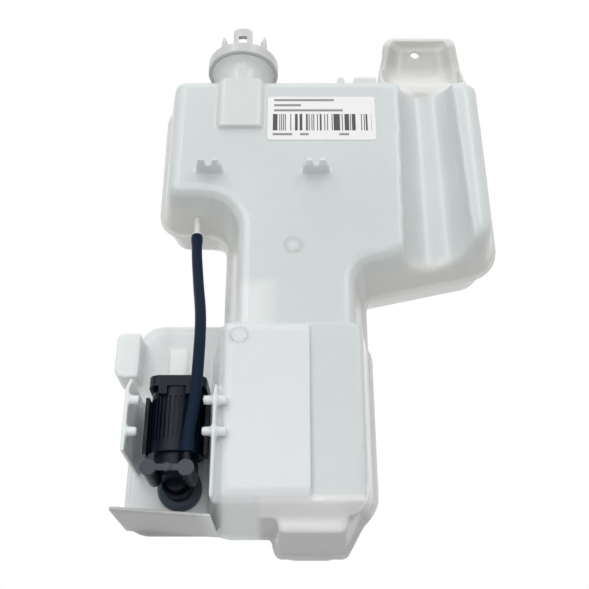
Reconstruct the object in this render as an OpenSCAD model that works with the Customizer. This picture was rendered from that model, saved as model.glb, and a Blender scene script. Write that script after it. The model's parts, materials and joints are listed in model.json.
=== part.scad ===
// Washer fluid reservoir of a van: blown tank, filler neck, electric pump and hose.
// Millimetres, upright as fitted: X to the right, Y to the rear, Z up.
// The origin is the centre of the ear's bolt hole on the tank's parting plane.

/* [Tank] */
// Width of the upper body on the parting plane
body_w = 233; // [215:1:250]
// Height of the upper body on its left side
body_h = 115; // [100:1:130]
// Depth from the parting plane to the front face
front_d = 42; // [38:1:46]
// Depth from the parting plane to the back face
back_d = 36; // [30:1:42]
// Thickness of the blown wall
wall = 2.2; // [1.8:0.1:2.8]
// Radius of the front and back edges
edge_r = 9; // [6:0.5:10]
// How far the front face is drawn in by the draft
front_draft = 7; // [5:0.5:9]
// How far the parting bead stands out
bead = 2.4; // [1.5:0.1:3]

/* [Ear] */
// Diameter of the bolt hole in the ear
ear_hole_d = 7; // [6.4:0.1:8.4]
// Width of the ear at its top
ear_w = 53; // [46:1:56]
// Thickness of the ear's plate
ear_t = 3; // [2.5:0.1:4]
// How far the ear's rim stands forward
ear_rim = 9; // [6:0.5:12]

/* [Filler neck] */
// Outer radius of the blown socket
neck_r = 16.2; // [15:0.1:18]
// Radius of the collar
collar_r = 25.7; // [23:0.1:27]
// Height of the tabs above the collar
tab_h = 23; // [18:0.5:26]

/* [Lower box] */
// Width of the lower box on the parting plane
box_w = 102; // [100:1:106]
// How far the lower box stands in front of the waist
box_step = 8; // [5:0.5:12]
// Extra height of the left panel over the right one
panel_step = 3; // [2:0.5:4]

/* [Pump] */
// Diameter of the motor housing
housing_d = 32.5; // [31.5:0.1:34]
// Length of the motor housing
housing_h = 38.5; // [38:0.5:42]
// Diameter of the steel motor can
can_d = 27.6; // [26.6:0.1:28]
// Diameter of the motor shaft
shaft_d = 2; // [1.6:0.1:2.4]
// Number of grooves on the front of the housing
groove_count = 13; // [9:2:15]
// Diameter of the grommet's flange
grommet_d = 26.5; // [25:0.1:28]

/* [Hose] */
// Outer diameter of the hose
hose_d = 7; // [6.4:0.1:7.6]
// Inner diameter of the hose
hose_bore = 4.4; // [3.8:0.1:4.8]

/* [Label] */
// Width of the label
label_w = 76; // [60:1:80]
// Height of the label
label_h = 38; // [30:1:42]

/* [Hidden] */
$fn = 48;

eps = 0.5;
seat = 0.1;
run = 0.04;
arc_steps = 5;
edge_steps = 3;
corner_least = 0.6;
edge_share = 0.7;

body_right = 43;
body_left = body_right - body_w;
body_top = -52;
body_low = body_top - body_h;
waist_left = -141;
waist_right = -49.5;
waist_low = -335;
shoulder_z = -218;
shoulder_rise = 21;
back_draft = 5;

front_y = -front_d;
box_y = front_y - box_step;
panel_y = box_y - panel_step;
box_left = -149;
box_right = box_left + box_w;
box_top = -249;
box_low = -376;
panel_right = -87;
chamfer = 17;

foot_y = -20;
foot_low = -388;

pocket_y = -7;
pocket_left = -197;
pocket_top = -241;
pocket_low = -374;
pocket_right = -118;

foot_left = -118;
foot_right = -48;
foot_root = -330;
foot_rise = -360;
toe_left = -106;
toe_right = -72;

box_back = back_d - 2;
foot_back = back_d - 6;
pocket_back = back_d - 4;
foot_draft = 3;
pocket_draft = 1;

body_radii = [16, 17, 14, 14, 9, 22, 16, 16];
box_radii = [15, 14, 14, 15, 15];
foot_radii = [13, 13, 13, 13, 13];
pocket_radii = [14, 14, 14, 14];
body_middle = [-96, -133];
box_middle = [-96, -320];
foot_middle = [-85, -362];
pocket_middle = [-160, -310];

// Each blown cell: corner points, corner radii, middle, front, back, draft in front
body_cell = [
    [
        [body_left, body_low], [waist_left, body_low], [waist_left, waist_low],
        [waist_right, waist_low], [waist_right, shoulder_z],
        [body_right, shoulder_z + shoulder_rise], [body_right, body_top], [body_left, body_top]
    ],
    body_radii, body_middle, front_y, back_d, front_draft
];
box_cell = [
    [
        [box_left, box_low], [box_right - chamfer, box_low], [box_right, box_low + chamfer],
        [box_right, box_top], [box_left, box_top]
    ],
    box_radii, box_middle, panel_y, box_back, front_draft
];
foot_cell = [
    [
        [foot_left, foot_root], [toe_left, foot_low], [toe_right, foot_low],
        [foot_right, foot_rise], [foot_right, foot_root]
    ],
    foot_radii, foot_middle, foot_y, foot_back, foot_draft
];
pocket_cell = [
    [
        [pocket_left, pocket_low], [pocket_right, pocket_low],
        [pocket_right, pocket_top], [pocket_left, pocket_top]
    ],
    pocket_radii, pocket_middle, pocket_y, pocket_back, pocket_draft
];
cells = [body_cell, box_cell, foot_cell, pocket_cell];

channel_x = -1.5;
channel_y = front_y + 3;
channel_r_low = 23;
channel_r_top = 18;
channel_low = -222;
channel_top = -45;

neck_x = -134;
neck_y = -30;
bulge_low = -105;
bulge_corner = 5;
socket_low = body_top - front_draft - edge_r / 2;
collar_low = -46.3;
collar_t = 7.6;
insert_r = neck_r - wall - seat;
insert_wall = 2;
insert_low = collar_low - 26;
collar_dish = 4;
collar_rim = 2.5;
tab_w = 13.7;
tab_window = 6;
tab_gap = 0.8;
tab_round = 0.2;
window_from = 0.3;
window_share = 0.4;
hook_w = 4.3;

label_x = -115;
label_z = -115;
label_t = 0.3;
label_corner = 2.2;

ear_top = 10;
ear_base_w = ear_w + 11.5;
ear_base = body_top - 6;
ear_x = 1;
ear_corner = 9;
ear_foot_r = 1;
scoop_r = 34;
cheek_d = 24;
cheek_lean = -28;
bead_t = 2.4;

fork_x = [-153.6, -81.5];
fork_z = -143;
fork_t = 2.5;
fork_w = 18.3;
fork_tip = 13;
fork_d = 15;
fork_gap = 4.6;
fork_slot = 4.5;

wing_t = 2.5;
wing_left = -192;
wing_left_y = -59;
wing_left_low = -341;
wing_right = -141.5;
wing_right_y = -60;
wing_top = -295;
wing_drop = 5;
wing_cut = 9;
snap_z = [-310.4, -329];
snap_y = -56;
snap_d = 5.5;
snap_reach = 7;
shield_y = -54.6;
shield_z = -373;
shield_fall = 4;

lug_w = 12;
lug_left = pocket_left - lug_w;
lug_in = 3;
lug_low = -283;
lug_h = 30;
lug_top = lug_low + lug_h;
lug_corners = [5, 1, 1, 4];
lug_d = 25;
lug_y = -10;
lug_cut = 6;

mark_t = 0.5;
stamp_x = -97;
stamp_z = -199;
stamp_r = 6.5;
stamp_w = 1;
disc_x = -129;
disc_z = -268;
disc_r = 5.5;
pad_x = -176.7;
pad_z = -277.4;
pad_w = 11;
pad_h = 19;
pad_t = 1.6;
rib_x = [-65, -53];
rib_w = [6, 16];
rib_t = 3;
rib_h = 9;
rib_low = body_top - front_draft - 4;

pump_x = -165;
pump_y = -34;
housing_r = housing_d / 2;
housing_low = -338;
housing_top = housing_low + housing_h;
cover_t = 6.5;
cover_top = housing_top + cover_t;
cover_w = housing_d + 1.5;
can_r = can_d / 2;
can_wall = 1;
can_low = housing_low + 3;
can_top = housing_top - 1;
shaft_r = shaft_d / 2;

inlet_z = -350;
inlet_r = 6;
grommet_neck_r = 10;
grommet_front = pocket_y - 6;
grommet_back = pocket_y + wall + 3;
grommet_cut = 1.5;
grommet_lip = 2;
grommet_taper = 1;

base_t = 3;
seal_r = 3.4;
rail_out = 2.6;
rail_t = 2.2;
rail_y = -8;
rail_d = 10;
rail_h = 34;
latch_h = 5;
latch_x = 8;
latch_w = 5;
latch_out = 0.8;
latch_d = 5.4;
groove_low = housing_low + 7;
groove_h = housing_h - 13;
groove_w = 1.5;
groove_d = 0.9;
groove_pitch = 10;

cover_hollow = 4;
cover_corners = [7, 7, 4, 4];
socket_w = 14;
socket_d = 8.4;
socket_y = pump_y + housing_r + 0.3;
socket_z = housing_top - 10;
socket_wall = 1.4;
blade_x = 2.6;
blade_w = 2.8;
blade_t = 0.8;
blade_sunk = 2;
blade_y = socket_y + socket_d / 2;
leg_z = 1.6;
leg_from = 8;

plate_t = 2.4;
plate_z = can_top - plate_t;
bush_r = 3;
bush_h = 2.4;
magnet_r = 9.9;
magnet_arc = 140;
magnet_z = can_low + 4;
core_r = 9.4;
core_z = magnet_z + 4;
hub_r = 3.2;
slot_w = 2.2;
slot_r = 2.2;
coil_h = 2.4;
coil_w = 5;
coil_l = 5;
commutator_r = 3.4;
commutator_h = 6;
bar_gap = 0.6;
commutator_z = plate_z - commutator_h - bar_gap;
brush_l = 4.6;
brush_w = 2.6;
brush_h = 3;
brush_z = commutator_z + 1.4;
holder_l = 5;
holder_w = 5.4;
holder_wall = 1.2;
holder_from = commutator_r + 2;
holder_z = brush_z - holder_wall;
motor_gap = 1.2;
magnet_h = holder_z - motor_gap - magnet_z;
core_h = commutator_z - motor_gap - coil_h - core_z;
shaft_low = housing_low - 8;

chamber_r = 13;
chamber_low = -350.7;
chamber_edge = 2.5;
wheel_r = 11;
wheel_room = 0.9;
wheel_h = 6;
wheel_z = housing_low - wheel_h - 1;
wheel_hub = 3;
wheel_disc = 1.2;
vane_count = 6;
vane_t = 1.2;
nose_r = 9;
nose_rim = 1.6;
nose_front = pump_y + 11;
nose_back = grommet_front - 1.5;
nose_floor = nose_front + 5.5;
inlet_front = pump_y + 4;
inlet_from = pump_y + 8;
inlet_back = grommet_back + 1.5;
inlet_wall = 1.5;
filter_l = 7;
filter_plug = 3;
filter_wall = 1.2;
filter_slots = 8;
filter_slot_w = 1.6;
filter_core = 2;
valve_x = [-176.4, -155.5];
valve_z = -351;
valve_r = 4.1;
valve_wall = 1.2;
valve_port = 2;
valve_front = -59.5;
valve_seat = -50;
disc_t = 1;
disc_room = 0.2;
cap_over = 0.4;
bar_in = 1;
cap_t = 2.5;
cap_plug = 1.4;
bar_h = 3.4;
boss_r = 2.2;
port_y = pump_y - 4;
port_in = 2.4;
spigot_top = -331;
spigot_bore = 1.2;
barb_from = 4;
barb_h = 2;
connector_in = 10;
connector_out = 19;
barb_out = 0.45;
barb_back = 0.5;
flange_from = 0.2;
flange_t = 1.6;
flange_out = 1.4;
tip_l = 3;
tip_in = 0.5;
spigot_x = -156;
spigot_y = -56;
spigot_r = hose_bore / 2 - 0.15;
hose_swell = 0.6;

// Hose route from the pump's spigot to the connector
route = [
    [-156, -56, -341], [-155.5, -56, -328], [-153.3, -56, -310], [-152.5, -56, -288],
    [-153.5, -48, -255], [-157.5, -36, -225], [-160.7, -28, -199], [-162, -23, -182]
];
route_steps = 5;
hose_sides = 12;

// Unit vector
function unit(v) = v / norm(v);

// Inward normal of the edge from a to b in an outline that runs anticlockwise
function inward(a, b) = unit([a[1] - b[1], b[0] - a[0]]);

// Corner i of an outline moved in by d
function moved(p, i, d) = let (
    n = len(p),
    a = p[(i + n - 1) % n],
    b = p[i],
    c = p[(i + 1) % n],
    m = inward(a, b),
    k = inward(b, c)
) b + d * (m + k) / (1 + m * k);

// True where corner i turns outward
function outer_corner(p, i) = let (
    n = len(p),
    a = p[(i + n - 1) % n],
    b = p[i],
    c = p[(i + 1) % n]
) cross(b - a, c - b) > 0;

// Points of the arc of radius r that rounds corner i
function corner_arc(p, i, r) = let (
    n = len(p),
    b = p[i],
    u = unit(p[(i + n - 1) % n] - b),
    v = unit(p[(i + 1) % n] - b),
    half = acos(u * v) / 2,
    middle = b + unit(u + v) * r / sin(half),
    from = b + u * r / tan(half) - middle,
    to = b + v * r / tan(half) - middle,
    start = atan2(from[1], from[0]),
    turn = (atan2(to[1], to[0]) - start + 540) % 360 - 180
) [
    for (k = [0:arc_steps])
        let (angle = start + turn * k / arc_steps)
            middle + r * [cos(angle), sin(angle)]
];

// Rounded outline of points p with radii r, moved in by d
function outline(p, r, d) = let (
    q = [for (i = [0:len(p) - 1]) moved(p, i, d)]
) [
    for (i = [0:len(p) - 1])
        each corner_arc(q, i, outer_corner(p, i) ? max(r[i] - d, corner_least) : r[i] + max(d, 0))
];

// Depth and draw-in of each ring of a cell whose wall lies g inside the outer skin
function rings(cell, g) = let (
    r = edge_r - g,
    front = cell[3] + g,
    back = cell[4] - g,
    draft = cell[5],
    fr = min(r, -front * edge_share)
) concat(
    [
        for (k = [edge_steps:-1:0])
            [front + fr * (1 - sin(90 * k / edge_steps)), g + draft + fr * (1 - cos(90 * k / edge_steps))]
    ],
    [[0, g]],
    [
        for (k = [0:edge_steps])
            [back - r * (1 - sin(90 * k / edge_steps)), g + back_draft + r * (1 - cos(90 * k / edge_steps))]
    ]
);

// Solid through equal rings of points, each end closed about its own middle
module loft(levels, first_middle, last_middle) {
    n = len(levels[0]);
    m = len(levels);
    points = concat([for (l = levels) each l], [first_middle, last_middle]);
    sides = [
        for (k = [0:m - 2])
            for (i = [0:n - 1])
                let (a = k * n + i, b = k * n + (i + 1) % n)
                    each [[a, b, a + n], [b, b + n, a + n]]
    ];
    first = [for (i = [0:n - 1]) [(i + 1) % n, i, m * n]];
    last = [for (i = [0:n - 1]) [(m - 1) * n + i, (m - 1) * n + (i + 1) % n, m * n + 1]];
    polyhedron(points, concat(sides, first, last));
}

// One blown cell, its wall g inside the outer skin
module blown_cell(cell, g) {
    steps = rings(cell, g);
    levels = [
        for (s = steps)
            [for (q = outline(cell[0], cell[1], s[1])) [q[0], s[0], q[1]]]
    ];
    middle = cell[2];
    first = steps[0];
    last = steps[len(steps) - 1];
    loft(levels, [middle[0], first[0], middle[1]], [middle[0], last[0], middle[1]]);
}

// Groove down the front face, g inside the outer skin
module front_channel(g) {
    translate([channel_x, channel_y, channel_low])
        cylinder(h = channel_top - channel_low, r1 = channel_r_low + g, r2 = channel_r_top + g);
}

// Step between the two panels of the lower box, g inside the outer skin
module panel_cut(g) {
    translate([panel_right - g, box_y + g - box_w, box_low])
        cube([box_w, box_w, box_top - box_low]);
}

// Cells of the tank as one skin, g inside the outer one, with the front groove and the panel step
module skin(g) {
    difference() {
        union() {
            for (c = cells)
                blown_cell(c, g);
        }
        front_channel(g);
        panel_cut(g);
    }
}

// Hollow skin of the tank, taken as one piece
module hollow_skin() {
    resize([0, 0, 0])
        difference() {
            union() {
                skin(0);
                bead_plates();
            }
            skin(wall);
            translate([neck_x, neck_y, socket_low - collar_r])
                cylinder(h = 2 * collar_r, r = insert_r - insert_wall);
        }
}

// Plate of an outline, t thick, standing on the plane y
module upright_plate(p, r, d, y, t) {
    translate([0, y, 0])
        rotate([90, 0, 0])
            linear_extrude(height = t, center = true)
                polygon(outline(p, r, d));
}

// Bead along the parting plane
module bead_plates() {
    for (c = cells)
        upright_plate(c[0], c[1], -bead, 0, bead_t);
}

// Ear plate with its rim, cheeks and the scoop that runs into the top
module ear() {
    low = ear_base;
    half_top = ear_w / 2;
    half_low = ear_base_w / 2;
    plate = [[-half_low, low], [half_low, low], [half_top, ear_top], [-half_top, ear_top]];
    radii = [ear_foot_r, ear_foot_r, ear_corner, ear_corner];
    translate([ear_x, 0, 0]) {
        upright_plate(plate, radii, 0, 0, ear_t);
        translate([0, -ear_rim / 2, 0])
            difference() {
                upright_plate(plate, radii, 0, 0, ear_rim);
                upright_plate(plate, radii, ear_t, 0, ear_rim + eps);
            }
        difference() {
            translate([-half_low + eps, -cheek_d, low])
                cube([2 * half_low - 2 * eps, cheek_d, scoop_r]);
            translate([-half_low + ear_t, -cheek_d - ear_t, low + scoop_r + eps])
                rotate([0, 90, 0])
                    cylinder(h = 2 * half_low - 2 * ear_t, r = cheek_d);
            translate([0, -cheek_d - eps, low + ear_rim])
                rotate([cheek_lean, 0, 0])
                    translate([-half_low - eps, -scoop_r, 0])
                        cube([2 * half_low + 2 * eps, scoop_r, 2 * scoop_r]);
        }
    }
}

// Fork that holds a hose against the front face
module hose_fork(x) {
    translate([x, front_y, fork_z])
        difference() {
            linear_extrude(height = fork_t)
                polygon([
                    [-fork_w / 2, eps], [-fork_w / 2, -fork_d / 3], [-fork_tip / 2, -fork_d],
                    [fork_tip / 2, -fork_d], [fork_w / 2, -fork_d / 3], [fork_w / 2, eps]
                ]);
            translate([-fork_gap / 2, -fork_d - eps, -eps])
                cube([fork_gap, fork_slot + eps, fork_t + 2 * eps]);
            translate([0, -fork_d + fork_slot, -eps])
                cylinder(h = fork_t + 2 * eps, d = fork_gap);
        }
}

// Side plate of the pump pocket with a cut corner at its front
module wing(x, root, front, low, top, cut) {
    translate([x - wing_t / 2, 0, 0])
        rotate([90, 0, 90])
            linear_extrude(height = wing_t)
                polygon([
                    [root, low], [root, top], [front + cut, top],
                    [front, top - cut], [front, low]
                ]);
}

// Snap ribs that hold the pump in its pocket
module snap_ribs(x, reach) {
    for (z = snap_z)
        translate([x, snap_y, z])
            rotate([0, 90, 0])
                cylinder(h = reach, d = snap_d);
}

// Plate below the pump that keeps stones off
module shield() {
    rotate([90, 0, 0])
        linear_extrude(height = -shield_y)
            polygon([
                [pocket_left, shield_z], [wing_right, shield_z - shield_fall],
                [wing_right, shield_z - shield_fall + wing_t], [pocket_left, shield_z + wing_t]
            ]);
}

// Blown lug beside the pocket
module lug() {
    difference() {
        translate([0, lug_y, 0])
            upright_plate(
                [
                    [lug_left, lug_low], [pocket_left + lug_in, lug_low],
                    [pocket_left + lug_in, lug_top], [lug_left, lug_top]
                ],
                lug_corners, 0, 0, lug_d
            );
        translate([lug_left - eps, lug_y - lug_d / 2 - lug_cut, lug_top - lug_cut])
            rotate([45, 0, 0])
                cube([2 * lug_w, 2 * lug_cut, 2 * lug_cut]);
    }
}

// Low marks and ribs on the front faces
module front_marks() {
    translate([stamp_x, front_y, stamp_z])
        rotate([90, 0, 0])
            difference() {
                cylinder(h = mark_t, r = stamp_r);
                cylinder(h = 3 * mark_t, r = stamp_r - stamp_w, center = true);
            }
    translate([disc_x, panel_y, disc_z])
        rotate([90, 0, 0])
            cylinder(h = mark_t, r = disc_r);
    translate([pad_x, pocket_y - pad_t, pad_z])
        cube([pad_w, pad_t + wall / 2, pad_h]);
    for (k = [0:len(rib_x) - 1])
        translate([rib_x[k], front_y + edge_r, rib_low])
            cube([rib_w[k], rib_t, rib_h]);
}

// Blown socket that the filler neck stands in, with the shallow bulge below it
module socket() {
    translate([neck_x, neck_y, socket_low])
        cylinder(h = collar_low - socket_low, r = neck_r);
    translate([neck_x, neck_y, bulge_low])
        linear_extrude(height = socket_low - bulge_low + eps)
            polygon(outline(
                [
                    [-neck_r, -neck_r], [neck_r, -neck_r],
                    [neck_r, front_y + wall - neck_y], [-neck_r, front_y + wall - neck_y]
                ],
                [bulge_corner, bulge_corner, corner_least, corner_least], 0
            ));
}

// Blown reservoir with its ear, forks, wings, shield and lug
module tank() {
    color("whitesmoke")
        difference() {
            union() {
                hollow_skin();
                socket();
                ear();
                for (x = fork_x)
                    hose_fork(x);
                wing(wing_left, pocket_y + wall / 2, wing_left_y, wing_left_low, wing_top, wing_cut);
                wing(
                    wing_right, panel_y + edge_r, wing_right_y,
                    box_low + edge_r, wing_top - wing_drop, wing_cut / 2
                );
                snap_ribs(wing_left, snap_reach);
                snap_ribs(wing_right - snap_reach, 2 * snap_reach);
                shield();
                lug();
                front_marks();
            }
            translate([neck_x, neck_y, bulge_low + wall])
                cylinder(h = collar_low - bulge_low, r = neck_r - wall);
            rotate([90, 0, 0])
                cylinder(h = 4 * ear_t, d = ear_hole_d, center = true);
            translate([pump_x, pocket_y, inlet_z])
                rotate([90, 0, 0])
                    cylinder(h = 4 * wall, r = grommet_neck_r + seat, center = true);
        }
}

// Tab of the filler neck, standing on the collar at angle a
module neck_tab(a, w, window) {
    translate([neck_x, neck_y, collar_low + collar_t - eps])
        rotate([0, 0, a])
            difference() {
                intersection() {
                    difference() {
                        cylinder(h = tab_h + eps, r = insert_r + insert_wall);
                        translate([0, 0, -eps])
                            cylinder(h = tab_h + 3 * eps, r = insert_r - insert_wall + tab_gap);
                    }
                    rotate([90, 0, 0])
                        linear_extrude(height = collar_r)
                            polygon(outline(
                                [[-w / 2, 0], [w / 2, 0], [w / 2, tab_h + eps], [-w / 2, tab_h + eps]],
                                [corner_least, corner_least, w * tab_round, w * tab_round], 0
                            ));
                }
                if (window > 0)
                    translate([-window / 2, -collar_r, tab_h * window_from])
                        cube([window, collar_r, tab_h * window_share]);
            }
}

// Filler neck: insert tube, collar and the four tabs that hold the filler pipe
module filler_neck() {
    color("ivory") {
        translate([neck_x, neck_y, 0])
            difference() {
                union() {
                    translate([0, 0, insert_low])
                        cylinder(h = collar_low - insert_low + eps, r = insert_r);
                    translate([0, 0, collar_low])
                        cylinder(h = collar_t, r = collar_r);
                }
                translate([0, 0, insert_low - eps])
                    cylinder(h = collar_low + collar_t - insert_low + 2 * eps, r = insert_r - insert_wall);
                translate([0, 0, collar_low + collar_t - collar_dish])
                    difference() {
                        cylinder(h = collar_dish + eps, r = collar_r - collar_rim);
                        cylinder(h = 3 * collar_t, r = insert_r + insert_wall + eps, center = true);
                    }
            }
        for (a = [0, 180])
            neck_tab(a, tab_w, tab_window);
        for (a = [90, 270])
            neck_tab(a, hook_w, 0);
    }
}

// Paper label on the front face, without print
module label() {
    right = label_x + label_w;
    top = label_z + label_h;
    color("white")
        upright_plate(
            [[label_x, label_z], [right, label_z], [right, top], [label_x, top]],
            [for (k = [1:4]) label_corner], 0, front_y - label_t / 2, label_t
        );
}

// Rubber grommet in the pocket's floor
module grommet() {
    color("slategray")
        translate([pump_x, grommet_front, inlet_z])
            rotate([-90, 0, 0])
                rotate_extrude()
                    polygon([
                        [inlet_r + seat, 0], [grommet_d / 2 - grommet_cut, 0], [grommet_d / 2, grommet_cut],
                        [grommet_d / 2, pocket_y - seat - grommet_front],
                        [grommet_neck_r, pocket_y - seat - grommet_front],
                        [grommet_neck_r, pocket_y + wall + seat - grommet_front],
                        [grommet_neck_r + grommet_lip, pocket_y + wall + seat - grommet_front],
                        [grommet_neck_r - grommet_taper, grommet_back - grommet_front],
                        [inlet_r + seat, grommet_back - grommet_front]
                    ]);
}

// Everything in the pump stands on its own axis
module on_pump(z) {
    translate([pump_x, pump_y, z])
        children();
}

// Ring between two radii
module ring(h, outer, inner) {
    difference() {
        cylinder(h = h, r = outer);
        translate([0, 0, -eps])
            cylinder(h = h + 2 * eps, r = inner);
    }
}

// Grooved motor housing with its side rails and latch blocks
module pump_housing() {
    color("black")
        difference() {
            union() {
                on_pump(housing_low)
                    cylinder(h = housing_h, r = housing_r);
                for (side = [-1, 1])
                    on_pump(housing_low) {
                        translate([side * (housing_r + rail_out - rail_t / 2) - rail_t / 2, rail_y, 0])
                            cube([rail_t, rail_d, rail_h]);
                        translate([side * housing_r - rail_out, rail_y + rail_d - rail_t, 0])
                            cube([2 * rail_out, rail_t, rail_h]);
                    }
                for (side = [-1, 1])
                    on_pump(housing_top - latch_h)
                        translate([side * latch_x - latch_w / 2, -housing_r - latch_out, 0])
                            cube([latch_w, latch_d, latch_h]);
            }
            on_pump(housing_low + base_t)
                cylinder(h = housing_h, r = can_r + seat);
            on_pump(housing_low - eps)
                cylinder(h = base_t + 2 * eps, r = seal_r + seat);
            for (k = [0:groove_count - 1])
                on_pump(groove_low)
                    rotate([0, 0, (k - (groove_count - 1) / 2) * groove_pitch])
                        translate([-groove_w / 2, -housing_r - eps, 0])
                            cube([groove_w, groove_d + eps, groove_h]);
        }
}

// Cap of the motor housing with the sunk plug socket at its back
module pump_cover() {
    half = cover_w / 2;
    color("black")
        difference() {
            union() {
                on_pump(housing_top)
                    linear_extrude(height = cover_t)
                        polygon(outline(
                            [[-half, -half], [half, -half], [half, half], [-half, half]],
                            cover_corners, 0
                        ));
                translate([pump_x - socket_w / 2, socket_y, socket_z])
                    cube([socket_w, socket_d, cover_top - socket_z]);
            }
            on_pump(housing_top - eps)
                cylinder(h = cover_hollow + eps, r = can_r - can_wall);
            translate([pump_x - socket_w / 2 + socket_wall, socket_y + socket_wall, socket_z + socket_wall])
                cube([socket_w - 2 * socket_wall, socket_d - 2 * socket_wall, cover_top - socket_z]);
            for (side = [-1, 1])
                translate([
                    pump_x + side * blade_x - blade_w / 2 - seat, pump_y, housing_top + leg_z - seat
                ])
                    cube([blade_w + 2 * seat, blade_y - pump_y, blade_t + 2 * seat]);
        }
}

// Two blades in the plug socket with their legs to the brush plate
module terminals() {
    color("goldenrod")
        for (side = [-1, 1])
            translate([pump_x + side * blade_x - blade_w / 2, 0, 0]) {
                translate([0, pump_y + leg_from, housing_top + leg_z])
                    cube([blade_w, blade_y - pump_y - leg_from, blade_t]);
                translate([0, blade_y - blade_t, socket_z + socket_wall])
                    cube([blade_w, blade_t, cover_top - socket_z - socket_wall - blade_sunk]);
                translate([0, pump_y + leg_from, plate_z + plate_t])
                    cube([blade_w, blade_t, housing_top + leg_z - plate_z - plate_t + blade_t]);
            }
}

// Deep drawn steel can of the motor
module motor_can() {
    color("silver")
        on_pump(can_low)
            difference() {
                cylinder(h = can_top - can_low, r = can_r);
                translate([0, 0, can_wall])
                    cylinder(h = can_top - can_low, r = can_r - can_wall);
                translate([0, 0, -eps])
                    cylinder(h = can_wall + 2 * eps, r = bush_r + seat);
            }
}

// Two arc magnets inside the can
module magnets() {
    color("dimgray")
        for (a = [0, 180])
            on_pump(magnet_z)
                rotate([0, 0, a - magnet_arc / 2])
                    rotate_extrude(angle = magnet_arc)
                        translate([magnet_r, 0])
                            square([can_r - can_wall - seat - magnet_r, magnet_h]);
}

// Three pole armature
module armature_core() {
    color("gray")
        on_pump(core_z)
            difference() {
                cylinder(h = core_h, r = core_r);
                for (a = [60, 180, 300])
                    rotate([0, 0, a]) {
                        translate([hub_r, -slot_w / 2, -eps])
                            cube([core_r, slot_w, core_h + 2 * eps]);
                        translate([hub_r + slot_w, 0, -eps])
                            cylinder(h = core_h + 2 * eps, r = slot_r);
                    }
                translate([0, 0, -eps])
                    cylinder(h = core_h + 2 * eps, r = shaft_r);
            }
}

// Copper coils above and below the three poles
module windings() {
    color("chocolate")
        for (z = [core_z - coil_h, core_z + core_h])
            on_pump(z)
                for (a = [0, 120, 240])
                    rotate([0, 0, a])
                        translate([hub_r, -coil_w / 2, 0])
                            cube([coil_l, coil_w, coil_h]);
}

// Copper bars of the commutator
module commutator() {
    color("peru")
        on_pump(commutator_z)
            difference() {
                ring(commutator_h, commutator_r, shaft_r);
                for (a = [0, 120, 240])
                    rotate([0, 0, a])
                        translate([shaft_r + bar_gap, -bar_gap / 2, -eps])
                            cube([commutator_r, bar_gap, commutator_h + 2 * eps]);
            }
}

// Motor shaft
module motor_shaft() {
    color("lightgray")
        on_pump(shaft_low)
            cylinder(h = plate_z + plate_t - shaft_low, r = shaft_r);
}

// Two carbon brushes on the commutator
module brushes() {
    color("darkslategray")
        for (side = [-1, 1])
            on_pump(brush_z)
                translate([side * (commutator_r + seat + brush_l / 2) - brush_l / 2, -brush_w / 2, 0])
                    cube([brush_l, brush_w, brush_h]);
}

// End plate that holds the brushes and the upper bush
module brush_plate() {
    color("saddlebrown")
        on_pump(0)
            difference() {
                union() {
                    translate([0, 0, plate_z])
                        cylinder(h = plate_t, r = can_r - can_wall - seat);
                    for (side = [-1, 1])
                        translate([
                            side * (holder_from + holder_l / 2) - holder_l / 2, -holder_w / 2, holder_z
                        ])
                            cube([holder_l, holder_w, plate_z - holder_z + eps]);
                }
                translate([0, 0, plate_z - eps])
                    cylinder(h = plate_t + 2 * eps, r = bush_r + seat);
                for (side = [-1, 1])
                    translate([
                        side * (commutator_r + brush_l / 2) - brush_l / 2 - seat,
                        -brush_w / 2 - seat, brush_z - seat
                    ])
                        cube([brush_l + 4 * seat, brush_w + 2 * seat, brush_h + 2 * seat]);
            }
}

// Sintered bushes at both ends of the shaft
module bearing_bushes() {
    color("darkgoldenrod")
        for (z = [can_low, plate_z])
            on_pump(z)
                ring(bush_h, bush_r, shaft_r + run);
}

// Lip seal between the motor and the pump chamber
module shaft_seal() {
    color("darkred")
        on_pump(housing_low)
            ring(base_t - seat, seal_r, shaft_r + run);
}

// Pump wheel with straight vanes
module impeller() {
    color("beige")
        on_pump(wheel_z)
            difference() {
                union() {
                    cylinder(h = wheel_h, r = wheel_hub);
                    translate([0, 0, wheel_h - wheel_disc])
                        cylinder(h = wheel_disc, r = wheel_r);
                    for (k = [0:vane_count - 1])
                        rotate([0, 0, k * 360 / vane_count])
                            translate([wheel_hub - eps, -vane_t / 2, 0])
                                cube([wheel_r - wheel_hub, vane_t, wheel_h - eps]);
                }
                translate([0, 0, -eps])
                    cylinder(h = wheel_h + 2 * eps, r = shaft_r);
            }
}

// Tube lying along Y from front to back
module lying(x, z, front, back, r) {
    translate([x, front, z])
        rotate([-90, 0, 0])
            cylinder(h = back - front, r = r);
}

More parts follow.
